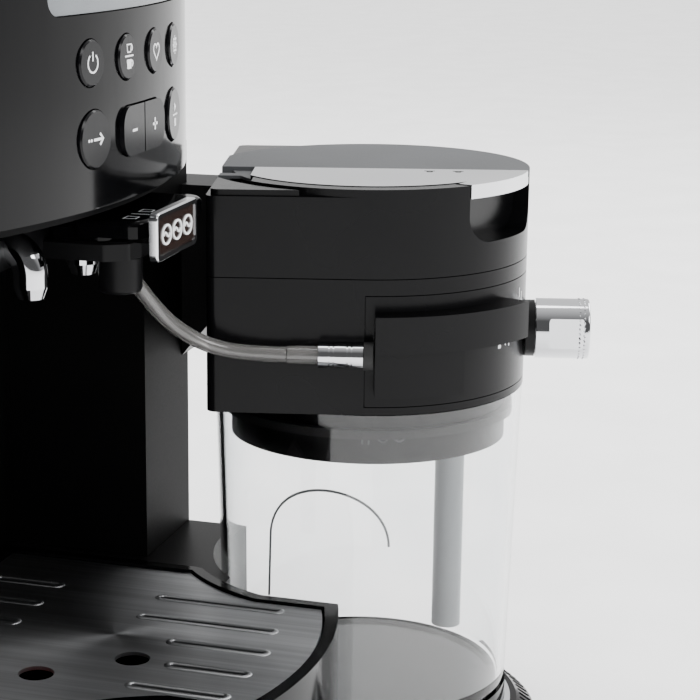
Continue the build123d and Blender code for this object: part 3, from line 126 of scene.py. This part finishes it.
# grain, patch and depth are in mm
finishes = {
    # moulded ABS, fine spark-eroded texture: breaks reflections into a soft sheen
    "satinBlackAbs": {"dark": "#0c0c0d", "light": "#111112", "roughness": (0.34, 0.46), "grain": 0.6,
                      "bump": 0.08, "depth": 0.02, "shader": {"IOR": 1.53, "Specular IOR Level": 0.14}},
    # polished piano-black ABS: mirror-like highlights with a faint orange peel
    "pianoBlackAbs": {"dark": "#040405", "light": "#070708", "roughness": (0.07, 0.12), "grain": 6.0,
                      "shader": {"IOR": 1.53, "Specular IOR Level": 0.13}},
    # black moulding round the cup's space, painted darker and duller than the other blacks: painted shade
    # that swallows the light, so that the recess reads as a dark void
    "recessShadeBlackAbs": {"dark": "#060607", "light": "#090909", "roughness": (0.5, 0.6), "grain": 0.8,
                     "shader": {"IOR": 1.53, "Specular IOR Level": 0.06}},
    # semi-gloss moulded black of the frother head: wide soft highlights
    "headBlackAbs": {"dark": "#080809", "light": "#0c0c0d", "roughness": (0.2, 0.27), "grain": 2.0,
                     "shader": {"IOR": 1.53, "Specular IOR Level": 0.11}},
    # fine matt grey lid, dulled by its texture
    "mattGreyAbs": {"dark": "#3c3e40", "light": "#434548", "roughness": (0.5, 0.62), "grain": 0.7,
                    "bump": 0.3, "shader": {"IOR": 1.53}},
    # clear acrylic over a grey print: plain grey with a glassy top
    "displayAcrylic": {"dark": "#5c6064", "light": "#6b7074", "roughness": (0.08, 0.14), "grain": 3.0,
                       "patch": 40, "shader": {"IOR": 1.49, "Coat Weight": 0.6, "Coat Roughness": 0.05}},
    # dull black plate that keeps the window dark behind its print
    "displayBacking": {"dark": "#101113", "light": "#16181a", "roughness": (0.4, 0.5), "grain": 1.0,
                       "shader": {"IOR": 1.5}},
    # moulded ABS of the button caps, slightly duller than the panel
    "buttonAbs": {"dark": "#08080a", "light": "#0c0c0e", "roughness": (0.16, 0.24), "grain": 1.5,
                  "shader": {"IOR": 1.53, "Specular IOR Level": 0.2}},
    # white pad-printed ink: flat even white that stands out on black
    "whiteInk": {"dark": "#d8d9da", "light": "#e6e7e8", "roughness": (0.45, 0.6), "grain": 0.3,
                 "shader": {"IOR": 1.5}},
    # grey pad-printed ink, fainter than the white
    "greyInk": {"dark": "#8d9092", "light": "#a0a3a5", "roughness": (0.45, 0.6), "grain": 0.3,
                "shader": {"IOR": 1.5}},
    # bright chrome plate on plastic: sharp reflections, tiny waviness
    "chromePlate": {"dark": "#d6d7da", "light": "#e4e5e7", "roughness": (0.05, 0.1), "grain": 5.0,
                    "bump": 0.015, "shader": {"Metallic": 1.0}},
    # brushed stainless plate, hairlines run front to rear, drawn coarser than real ones so that they show
    "brushedSteel": {"dark": "#b4b5b7", "light": "#cfd0d2", "roughness": (0.38, 0.55), "grain": 0.5,
                     "patch": 2.5, "stretch": (1, 0.02, 1), "bump": 0.1,
                     "shader": {"Metallic": 1.0, "Anisotropic": 0.6}},
    # ground steel of the pin and burr: soft grey shine
    "groundSteel": {"dark": "#6f7072", "light": "#8a8b8d", "roughness": (0.3, 0.45), "grain": 1.0,
                    "bump": 0.1, "shader": {"Metallic": 1.0}},
    # smoked silicone: lets light through with a soft dark edge
    "smokedSilicone": {"dark": "#b4b2b0", "light": "#c6c4c2", "roughness": (0.08, 0.16), "grain": 2.0,
                       "shader": {"IOR": 1.41, "Transmission Weight": 0.85, "Coat Weight": 0.5,
                                  "Coat Roughness": 0.05}},
    # moulded EPDM rubber, dead matt
    "mattRubber": {"dark": "#121212", "light": "#181818", "roughness": (0.6, 0.75), "grain": 0.6,
                   "bump": 0.3, "shader": {"IOR": 1.52}},
    # clear copolyester jug: thin, colourless, faint flow lines
    "clearCopolyester": {"dark": "#f6f8f9", "light": "#ffffff", "roughness": (0.01, 0.03), "grain": 20.0,
                         "shader": {"IOR": 1.42, "Transmission Weight": 1.0}},
    # smoked clear styrene of tank and hopper: dark walls that can be seen through
    "smokedStyrene": {"dark": "#6c7278", "light": "#7a8086", "roughness": (0.05, 0.1), "grain": 12.0,
                      "shader": {"IOR": 1.4, "Transmission Weight": 0.85}},
    # milky polypropylene suction tube: pale, with a little light coming through
    "milkyPolypropylene": {"dark": "#c2c7ca", "light": "#d6dadc", "roughness": (0.3, 0.4), "grain": 3.0,
                           "shader": {"IOR": 1.49, "Transmission Weight": 0.25}},
    # gloss red float, seen as a spot of colour in the plate's window
    "redAbs": {"dark": "#8c0d0d", "light": "#a31212", "roughness": (0.2, 0.3), "grain": 2.0,
               "shader": {"IOR": 1.53}},
    # dark brown enamel fill of the badge, smooth and wet-looking
    "brownEnamel": {"dark": "#1f1512", "light": "#2a1c17", "roughness": (0.16, 0.26), "grain": 1.5,
                    "bump": 0.05, "shader": {"IOR": 1.5, "Coat Weight": 0.4}},
    # pale moulded band: a light line round the jug's foot
    "paleBand": {"dark": "#8b8d8f", "light": "#999b9d", "roughness": (0.35, 0.5), "grain": 0.8, "bump": 0.1,
                 "shader": {"IOR": 1.5}},
    # grey polypropylene of the inner frame: plain and dull
    "innerGreyPp": {"dark": "#4a4b4d", "light": "#555658", "roughness": (0.45, 0.6), "grain": 1.2,
                    "bump": 0.2, "shader": {"IOR": 1.49}},
    # green solder lacquer of the board: dull dark green
    "circuitLacquer": {"dark": "#0c3a1e", "light": "#125029", "roughness": (0.3, 0.4), "grain": 1.0,
                       "shader": {"IOR": 1.5}},
}
materials = {name: makeFinish(name, s) for name, s in finishes.items()}

nodeFinish = {
    "satinBlackAbs": ["base", "shell", "docking_arm", "spout_carriage", "milk_outlet", "knob_collar",
                      "jug_collar", "grounds_drawer", "mains_inlet", "top_deck", "tank_cradle", "tank_lid"],
    # the recess liner gets the darker black as painted shade
    "recessShadeBlackAbs": ["recess_liner"],
    "pianoBlackAbs": ["front_panel", "spout_cover", "drip_tray", "jug_base"],
    "headBlackAbs": ["hood", "head_body", "head_cover"],
    "mattGreyAbs": ["head_lid"],
    "displayAcrylic": ["display_window"],
    "displayBacking": ["display_module"],
    "buttonAbs": [n for n in nodes if n.endswith("_button")],
    "chromePlate": ["coffee_nozzles", "badge_frame", "hose_connector", "lid_trim", "froth_knob",
                    "cup_rail"],
    "brushedSteel": ["drip_grid"],
    "groundSteel": ["lid_pin", "lower_burr"],
    "smokedSilicone": ["milk_hose", "hose_end"],
    "mattRubber": ["feet", "steam_port", "connector_seal", "jug_seal"],
    "clearCopolyester": ["milk_jug"],
    "smokedStyrene": ["bean_hopper", "hopper_lid", "water_tank"],
    "milkyPolypropylene": ["suction_tube"],
    "redAbs": ["level_float"],
    "brownEnamel": ["badge_plate"],
    "paleBand": ["jug_ring"],
    "innerGreyPp": ["brew_frame", "brew_cylinder", "brew_piston", "grinder_housing", "pump"],
    "circuitLacquer": ["control_board"],
}
for finishName, members in nodeFinish.items():
    for member in members:
        nodes[member].data.materials.clear()
        nodes[member].data.materials.append(materials[finishName])
print("finishes made and assigned")


def addMesh(name, bm, finishName, body):
    bmesh.ops.recalc_face_normals(bm, faces=bm.faces)
    mesh = bpy.data.meshes.new(name)
    bm.to_mesh(mesh)
    bm.free()
    mesh.materials.append(materials[finishName])
    piece = bpy.data.objects.new(name, mesh)
    bpy.context.scene.collection.objects.link(piece)
    if body:
        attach(piece, body)
    return piece


def closeStrip(bm, rows, closed):
    # joins rows of points into one skin, and caps the ends of an open one
    count = len(rows)
    sides = len(rows[0])
    verts = [[bm.verts.new(point) for point in row] for row in rows]
    for i in range(count if closed else count - 1):
        for k in range(sides):
            here, after = verts[i], verts[(i + 1) % count]
            bm.faces.new((here[k], here[(k + 1) % sides], after[(k + 1) % sides], after[k]))
    if not closed:
        bm.faces.new(verts[0])
        bm.faces.new(verts[-1])


# raised marks, in mm: how far they go into the surface and stand out of it
mark = {"sunk": -0.1, "proud": 0.12}


def addStroke(bm, points, width, place, height=mark["proud"], closed=False):
    # a flat raised line through 2-D points; place turns (u, v, h) in mm into a point in metres
    rows = []
    count = len(points)
    for i, (u, v) in enumerate(points):
        before = points[i - 1] if closed or i else points[i]
        after = points[(i + 1) % count] if closed or i < count - 1 else points[i]
        du, dv = after[0] - before[0], after[1] - before[1]
        length = math.hypot(du, dv) or 1
        nu, nv = -dv / length * width / 2, du / length * width / 2
        rows.append([place(u - nu, v - nv, mark["sunk"]), place(u + nu, v + nv, mark["sunk"]),
                     place(u + nu, v + nv, height), place(u - nu, v - nv, height)])
    closeStrip(bm, rows, closed)


def addPatch(bm, outline, place):
    low = [bm.verts.new(place(u, v, mark["sunk"])) for u, v in outline]
    top = [bm.verts.new(place(u, v, mark["proud"])) for u, v in outline]
    bm.faces.new(low)
    bm.faces.new(top)
    for i in range(len(outline)):
        k = (i + 1) % len(outline)
        bm.faces.new((low[i], low[k], top[k], top[i]))


def arc(radius, start, end, steps, centre=(0, 0), squeeze=1.0):
    return [(centre[0] + radius * math.cos(math.radians(start + (end - start) * i / steps)),
             centre[1] + squeeze * radius * math.sin(math.radians(start + (end - start) * i / steps)))
            for i in range(steps + 1)]


def onPanel(offset, height, shiftU=0.0):
    # the flat face of a button on the curved panel
    angle = math.asin(offset / panel["radius"])
    along = Vector((math.cos(angle), math.sin(angle), 0))
    outward = Vector((math.sin(angle), -math.cos(angle), 0))
    radius = panel["radius"] + panel["capProud"]
    origin = Vector((panel["x"] + radius * math.sin(angle),
                     panel["axisY"] - radius * math.cos(angle), height))
    return lambda u, v, h: (origin + along * (u + shiftU) + outward * h + Vector((0, 0, v))) * mm


def headPoint(x, y, z):
    turn = math.radians(jug["turn"])
    return Vector((jug["x"] + x * math.cos(turn) - y * math.sin(turn),
                   jug["y"] + x * math.sin(turn) + y * math.cos(turn), z)) * mm


def onRound(radius, taper=0.0, reference=0.0):
    # u is an angle in the head's own directions, v a height, h the distance out of the surface
    def place(u, v, h):
        turn = math.radians(u)
        here = radius - taper * (reference - v) + h
        return headPoint(here * math.cos(turn), here * math.sin(turn), v)
    return place


# symbols on the buttons: place on the panel and line widths, in mm
symbols = {
    "stroke": 0.5,
    "heavy": 0.75,
    "heavyOn": ("minus", "plus", "program"),
    "power": {"offset": -33.0, "height": 245.5},
    "drink": {"offset": -11.3, "height": 245.5},
    "favourite": {"offset": 10.6, "height": 245.5},
    "settings": {"offset": 32.2, "height": 245.5},
    "program": {"offset": -31.6, "height": 224.0},
    "start": {"offset": 31.6, "height": 224.0},
    "minus": {"offset": 0.0, "height": 224.0, "shift": -8.2},
    "plus": {"offset": 0.0, "height": 224.0, "shift": 8.2},
}
heartSize = 0.17
heart = [(heartSize * 16 * math.sin(t) ** 3,
          heartSize * (13 * math.cos(t) - 5 * math.cos(2 * t) - 2 * math.cos(3 * t) - math.cos(4 * t)))
         for t in [math.tau * i / 40 for i in range(40)]]
strokes = {
    "power": [(arc(2.6, 125, 415, 28), False), ([(0, 0.6), (0, 3.2)], False)],
    "drink": [([(-1.5, 3.6), (-1.1, 1.4), (1.0, 1.4), (1.4, 3.6)], True),
              (arc(0.8, -80, 80, 8, (1.3, 2.6)), False),
              ([(-2.8, 0.3), (2.8, 0.3)], False), (arc(0.8, -80, 80, 8, (1.6, -1.9)), False)],
    "favourite": [(heart, True)],
    "settings": [(arc(1.9, 0, 342, 19), True), (arc(0.8, 0, 330, 11), True)],
    "program": [([(-1.6, 0), (3.2, 0)], False), ([(1.7, 1.6), (3.5, 0), (1.7, -1.6)], False)],
    "start": [([(-3.2, 0), (3.2, 0)], False)],
    "minus": [([(-1.8, 0), (1.8, 0)], False)],
    "plus": [([(-1.8, 0), (1.8, 0)], False), ([(0, -1.8), (0, 1.8)], False)],
}
# a tooth of the settings wheel: radius and turn of its corners
tooth = ((1.9, -0.17), (2.9, -0.1), (2.9, 0.1), (1.9, 0.17))
patches = {
    "drink": [[(-1.7, -0.7), (-1.3, -3.4), (1.2, -3.4), (1.6, -0.7)]],
    "settings": [[(radius * math.cos(a + turn), radius * math.sin(a + turn)) for radius, turn in tooth]
                 for a in [math.tau * i / 8 for i in range(8)]],
    "program": [arc(0.45, 0, 330, 11, (-4.2, 0)), arc(0.45, 0, 330, 11, (-2.9, 0))],
    "start": [[(-1.1, 1.0), (1.5, 2.4), (-1.1, 3.8)],
              [(-1.2, -3.6), (1.2, -3.6), (1.2, -1.2), (-1.2, -1.2)]],
}
for name, lines in strokes.items():
    s = symbols[name]
    place = onPanel(s["offset"], s["height"], s.get("shift", 0.0))
    width = symbols["heavy"] if name in symbols["heavyOn"] else symbols["stroke"]
    bm = bmesh.new()
    for points, closed in lines:
        addStroke(bm, points, width, place, closed=closed)
    for outline in patches.get(name, []):
        addPatch(bm, outline, place)
    addMesh(name + "Symbol", bm, "whiteInk", name)
print("button symbols drawn")

# badge, with a plain bean motif
badge = {"x": -23.5, "y": -104.7, "z": 193.6, "bean": 3.6, "squeeze": 0.78, "pitch": 9.0,
         "crease": 2.6, "wave": 0.8,
         "line": 0.6, "creaseLine": 0.5, "height": 0.3}


def onBadge(u, v, h):
    return Vector((badge["x"] + u, badge["y"] - h, badge["z"] + v)) * mm


bm = bmesh.new()
for column in (-1, 0, 1):
    middle = column * badge["pitch"]
    outline = [(middle + u, v) for u, v in arc(badge["bean"], 0, 345, 23, squeeze=badge["squeeze"])]
    crease = [(middle + badge["crease"] * (i / 5 - 1), badge["wave"] * math.sin(math.tau * i / 10))
              for i in range(11)]
    addStroke(bm, outline, badge["line"], onBadge, badge["height"], closed=True)
    addStroke(bm, crease, badge["creaseLine"], onBadge, badge["height"])
addMesh("badgeBeans", bm, "whiteInk", "spout")
print("badge made")

# cup symbols on the cover of the outlet
cover = {"top": 197.1, "x": -21.0, "y": -92.0, "spread": 6.5, "line": 0.35, "height": 0.06,
         "cup": ((-2.2, 2.2), (-1.6, -1.6), (1.6, -1.6), (2.2, 2.2))}


def onCover(u, v, h):
    return Vector((cover["x"] + u, cover["y"] + v, cover["top"] + h)) * mm


bm = bmesh.new()
for middle in (-cover["spread"], cover["spread"]):
    cup = [(middle + u, v) for u, v in cover["cup"]]
    addStroke(bm, cup, cover["line"], onCover, cover["height"], closed=True)
addStroke(bm, [(0, 3), (0, -3)], cover["line"], onCover, cover["height"])
addMesh("coverSymbols", bm, "greyInk", "spout")
print("cover symbols drawn")

# scale beside the froth knob
# each tick: angle round the head, lower and upper end, width
ticks = {"radius": 54.0, "height": 0.08,
         "lines": ((235.0, 143.6, 145.2, 1.6), (239.0, 144.0, 149.6, 0.5), (241.6, 143.4, 147.0, 0.5),
                   (250.5, 158.4, 161.6, 0.5), (253.0, 157.0, 160.0, 0.5))}
place = onRound(ticks["radius"])
bm = bmesh.new()
for angle, low, high, width in ticks["lines"]:
    # a stroke's width is in degrees here, and 57.3 degrees go to a radian
    addStroke(bm, [(angle, low), (angle, high)], width * 57.3 / ticks["radius"], place, ticks["height"])
addMesh("knobScale", bm, "whiteInk", "jug")

# level and lock marks moulded on the collar
collar = {"radius": 48.0, "bars": (179.5, 182.0), "barLow": 114.4, "barHigh": 119.8, "barWidth": 0.7,
          "rings": (187.5, 194.0), "ringHeight": 117.2, "ringRadius": 1.8, "ringWidth": 0.6,
          "degreesPerMm": 1.2, "height": 0.3}
place = onRound(collar["radius"])
bm = bmesh.new()
for angle in collar["bars"]:
    bar = [(angle, collar["barLow"]), (angle, collar["barHigh"])]
    addStroke(bm, bar, collar["barWidth"], place, collar["height"])
for centre in collar["rings"]:
    ring = [(centre + u * collar["degreesPerMm"], collar["ringHeight"] + v)
            for u, v in arc(collar["ringRadius"], 0, 345, 23)]
    addStroke(bm, ring, collar["ringWidth"], place, collar["height"], closed=True)
addMesh("collarMarks", bm, "mattGreyAbs", "jug")

# open and closed marks on the bright trim
trim = {"top": 200.0, "starts": (-17.0, -26.5), "barX": -12.6, "barFrom": 1.2, "barTo": 4.8, "barWidth": 0.5,
        "ringX": -14.2, "ringFrom": 3, "ringRadius": 0.9, "ringWidth": 0.4, "height": 0.06}
bm = bmesh.new()


def onTrim(u, v, h):
    return headPoint(u, v, trim["top"] + h)


for start in trim["starts"]:
    bar = [(trim["barX"], start - trim["barFrom"]), (trim["barX"], start - trim["barTo"])]
    ring = [(trim["ringX"] + u, start - trim["ringFrom"] + v) for u, v in arc(trim["ringRadius"], 0, 330, 11)]
    addStroke(bm, bar, trim["barWidth"], onTrim, trim["height"])
    addStroke(bm, ring, trim["ringWidth"], onTrim, trim["height"], closed=True)
addMesh("lidMarks", bm, "displayBacking", "lid")

# two rings of fine dots round the end of the knob
# each dot is a low dome of three rings: radius and height over the knob
knob = {"radius": 10.42, "from": 70.5, "axisHeight": 143.8, "dots": 40, "rowPitch": 1.6,
        "dome": ((0.36, -0.1), (0.3, 0.12), (0.1, 0.2))}
corners = [math.tau * k / 6 for k in range(6)]
bm = bmesh.new()
for i in range(knob["dots"]):
    turn = math.tau * i / knob["dots"]
    for row in range(2):
        depth = -(knob["from"] + knob["rowPitch"] * row + 2)
        spin = turn + row * math.pi / knob["dots"]
        rows = []
        for radius, lift in knob["dome"]:
            out = knob["radius"] + lift
            rows.append([headPoint(out * math.cos(spin) - radius * math.cos(a) * math.sin(spin),
                                   depth + radius * math.sin(a),
                                   knob["axisHeight"] + out * math.sin(spin)
                                   + radius * math.cos(a) * math.cos(spin)) for a in corners])
        closeStrip(bm, rows, False)
addMesh("knobGrip", bm, "chromePlate", "knob")
print("head marks made")

# moulded arch on the jug's wall: angles round the head and heights; a degree is 0.92 mm along the wall
arch = {"middle": 165.5, "half": 25.0, "spring": 79.0, "rise": 18.6, "foot": 57.0, "width": 0.9,
        "degree": 0.92, "legSteps": 6, "arcSteps": 30,
        "profile": ((-0.5, -0.1), (-0.25, 0.3), (0.25, 0.3), (0.5, -0.1))}
leg = arch["spring"] - arch["foot"]
path = [(arch["middle"] - arch["half"], arch["foot"] + leg * i / arch["legSteps"])
        for i in range(arch["legSteps"])]
path += [(arch["middle"] - arch["half"] * math.cos(t), arch["spring"] + arch["rise"] * math.sin(t))
         for t in [math.pi * i / arch["arcSteps"] for i in range(arch["arcSteps"] + 1)]]
bm = bmesh.new()
wall = onRound(jug["wallTop"] - jug["taper"] * jug["rimHeight"], -jug["taper"], 0.0)
rows = []
for i, (u, v) in enumerate(path):
    before, after = path[max(i - 1, 0)], path[min(i + 1, len(path) - 1)]
    du, dv = (after[0] - before[0]) * arch["degree"], after[1] - before[1]
    length = math.hypot(du, dv)
    nu, nv = -dv / length, du / length
    rows.append([wall(u + nu * w * arch["width"] / arch["degree"], v + nv * w * arch["width"], h)
                 for w, h in arch["profile"]])
closeStrip(bm, rows, False)
addMesh("jugArch", bm, "paleBand", "jug")

# ridges round the sloped band of the jug's foot
# halfWidth is in degrees at a radius of 1 mm, and comes to 0.5 mm at any other
foot = {"inner": 57.2, "outer": 61.2, "count": 96, "halfWidth": 28.6,
        "bandEdge": 62.0, "bandLow": 2.4, "slope": 4.6 / 6.4,
        "profile": ((-1, -0.2), (-0.6, 0.35), (0.6, 0.35), (1, -0.2))}
bm = bmesh.new()
for i in range(foot["count"]):
    angle = 360 * i / foot["count"]
    rows = []
    for radius in (foot["inner"], foot["outer"]):
        height = foot["bandLow"] + (foot["bandEdge"] - radius) * foot["slope"]
        rows.append([onRound(radius)(angle + side * foot["halfWidth"] / radius, height + lift, 0)
                     for side, lift in foot["profile"]])
    closeStrip(bm, rows, False)
addMesh("footRidges", bm, "pianoBlackAbs", "jug")
print("jug details made")

# pressed lips round the slots of the drip plate
# each slot: column, then its front and rear end from the jug's axis; rear is the second row, in the frame
plate = {"x": -23.5, "pitch": 17.7, "top": 61.5, "edge": 0.8, "lip": 3.2, "rise": 0.5,
         "slots": [(-2, 5.8, 35), (-1, 5.0, 29), (0, 4.7, 35), (1, 7.6, 52), (2, 11.1, 52)],
         "rear": (-47.5, -25.5), "steps": 32}
# section of a lip: distance from the slot's centre line and height over the plate
lipSection = ((plate["edge"], -0.6), (plate["edge"] + 0.15, 0.1), (plate["edge"] + 0.9, plate["rise"]),
              (plate["lip"] - 0.9, plate["rise"] * 0.5), (plate["lip"], -0.1))
bm = bmesh.new()
spans = [(column, jug["y"] + front, jug["y"] + rear) for column, front, rear in plate["slots"]]
spans += [(column, *plate["rear"]) for column, front, rear in plate["slots"]]
for column, front, rear in spans:
    centreX = plate["x"] + column * plate["pitch"]
    rows = []
    for i in range(plate["steps"]):
        angle = math.tau * i / plate["steps"]
        across, lengthwise = math.cos(angle), math.sin(angle)
        endY = rear - plate["edge"] if lengthwise >= 0 else front + plate["edge"]
        rows.append([Vector((centreX + r * across, endY + r * lengthwise, plate["top"] + h)) * mm
                     for r, h in lipSection])
    closeStrip(bm, rows, True)
slotLips = addMesh("slotLips", bm, "brushedSteel", "grid")
for polygon in slotLips.data.polygons:
    polygon.use_smooth = True
print("drip plate detailed")

# milk hose: its first points, then its last run to the port in the head's own directions
hose = {"diameter": 5.0, "bore": 3.0, "sides": 28,
        "portOffset": 59.0, "portHeight": 146.9, "lastRun": (37.2, 24.5),
        "points": [(-6.5, -84.5, 172.6), (-1.1, -87.6, 165.0), (4.1, -93.4, 156.6), (9.9, -102.6, 149.8)]}
route = [Vector(point) * mm for point in hose["points"]]
route += [headPoint(-hose["portOffset"], y, hose["portHeight"]) for y in hose["lastRun"]]
curve = bpy.data.curves.new("hoseRoute", "CURVE")
curve.dimensions = "3D"
curve.resolution_u = 16
spline = curve.splines.new("NURBS")
spline.points.add(len(route) - 1)
for point, place in zip(spline.points, route):
    point.co = (*place, 1)
spline.order_u = 3
spline.use_endpoint_u = True
routeObject = bpy.data.objects.new("hoseRoute", curve)
bpy.context.scene.collection.objects.link(routeObject)
bpy.context.view_layer.update()
routeMesh = bpy.data.meshes.new_from_object(routeObject)
hosePath = [vertex.co.copy() for vertex in routeMesh.vertices]
bpy.data.objects.remove(routeObject)
hoseLength = sum((b - a).length for a, b in zip(hosePath, hosePath[1:]))
print("hose length", round(hoseLength, 4))

bm = bmesh.new()
side = Vector((1, 0, 0))
sides = hose["sides"]
outerRows, innerRows = [], []
for i, here in enumerate(hosePath):
    along = (hosePath[min(i + 1, len(hosePath) - 1)] - hosePath[max(i - 1, 0)]).normalized()
    side = (side - along * side.dot(along)).normalized()
    upward = along.cross(side)
    for rows, radius in ((outerRows, hose["diameter"] / 2), (innerRows, hose["bore"] / 2)):
        rows.append([bm.verts.new(here + (side * math.cos(a) + upward * math.sin(a)) * radius * mm)
                     for a in [math.tau * k / sides for k in range(sides)]])
for rows in (outerRows, innerRows):
    for here, after in zip(rows, rows[1:]):
        for k in range(sides):
            bm.faces.new((here[k], here[(k + 1) % sides], after[(k + 1) % sides], after[k]))
for outer, inner in ((outerRows[0], innerRows[0]), (outerRows[-1], innerRows[-1])):
    for k in range(sides):
        bm.faces.new((outer[k], outer[(k + 1) % sides], inner[(k + 1) % sides], inner[k]))
hosePiece = addMesh("milkHose", bm, "smokedSilicone", None)
for polygon in hosePiece.data.polygons:
    polygon.use_smooth = True
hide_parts("milk_hose")
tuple(hosePath[0])
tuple(hosePath[-1])
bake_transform(hosePiece)
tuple(hosePath[0])
print("hose made")

# floor and light
floorMesh = bpy.data.meshes.new("floor")
reach = 6.0
floorMesh.from_pydata([(-reach, -reach, 0), (reach, -reach, 0), (reach, reach, 0), (-reach, reach, 0)], [],
                      [(0, 1, 2, 3)])
floor = bpy.data.objects.new("floor", floorMesh)
bpy.context.scene.collection.objects.link(floor)
# matt white paper: a plain ground with a soft contact shadow
floorFinish = makeFinish("palePaper", {"dark": "#f0f0f0", "light": "#f6f6f6", "roughness": (0.7, 0.8),
                                       "grain": 5.0, "shader": {"IOR": 1.5}})
floorMesh.materials.append(floorFinish)

# metres and watts; bright is the direction in which the room is brightest
studio = {
    "target": (0.03, -0.1, 0.15),
    "lamps": [{"place": (-0.5, -1.5, 1.3), "size": 0.7, "power": 12},
              {"place": (1.2, -1.0, 1.0), "size": 0.8, "power": 16},
              {"place": (0.3, 0.4, 1.8), "size": 1.2, "power": 22}],
    "bright": (0.85, 0.25, 0.45),
    "glow": {"From Min": -0.4, "From Max": 0.7, "To Min": 0.12, "To Max": 1.1},
    "fill": 2.6,
    "sweep": 2.6,
}
for number, lamp in enumerate(studio["lamps"]):
    light = bpy.data.lights.new(f"softbox{number}", "AREA")
    light.size = lamp["size"]
    light.energy = lamp["power"]
    lightObject = bpy.data.objects.new(light.name, light)
    bpy.context.scene.collection.objects.link(lightObject)
    lightObject.location = lamp["place"]
    toward = Vector(studio["target"]) - Vector(lamp["place"])
    lightObject.rotation_euler = toward.to_track_quat("-Z", "Y").to_euler()

# the camera sees a white sweep and matt surfaces get an even fill, while reflections see a dimmer
# room that is brightest behind the object, which keeps the blacks deep
world = bpy.data.worlds.new("studio")
world.use_nodes = True
sky = world.node_tree
sky.nodes.clear()
worldOut = addNode(sky, "ShaderNodeOutputWorld")
direction = addNode(sky, "ShaderNodeTexCoord")
facing = addNode(sky, "ShaderNodeVectorMath", {"operation": "DOT_PRODUCT"}, {0: (direction, "Generated")})
facing.inputs[1].default_value = studio["bright"]
glow = addNode(sky, "ShaderNodeMapRange", studio["glow"], {"Value": (facing, "Value")})
seen = addNode(sky, "ShaderNodeLightPath")
fill = addNode(sky, "ShaderNodeMapRange", {"To Max": studio["fill"]},
               {"Value": (seen, "Is Diffuse Ray"), "To Min": (glow, 0)})
room = addNode(sky, "ShaderNodeBackground", links={"Strength": (fill, 0)})
sweep = addNode(sky, "ShaderNodeBackground", {"Strength": studio["sweep"]})
mixed = addNode(sky, "ShaderNodeMixShader", links={0: (seen, "Is Camera Ray"), 1: (room, 0), 2: (sweep, 0)})
for shade in (room, sweep):
    shade.inputs["Color"].default_value = (1, 1, 1, 1)
sky.links.new(mixed.outputs[0], worldOut.inputs[0])
bpy.context.scene.world = world
print("stage set")
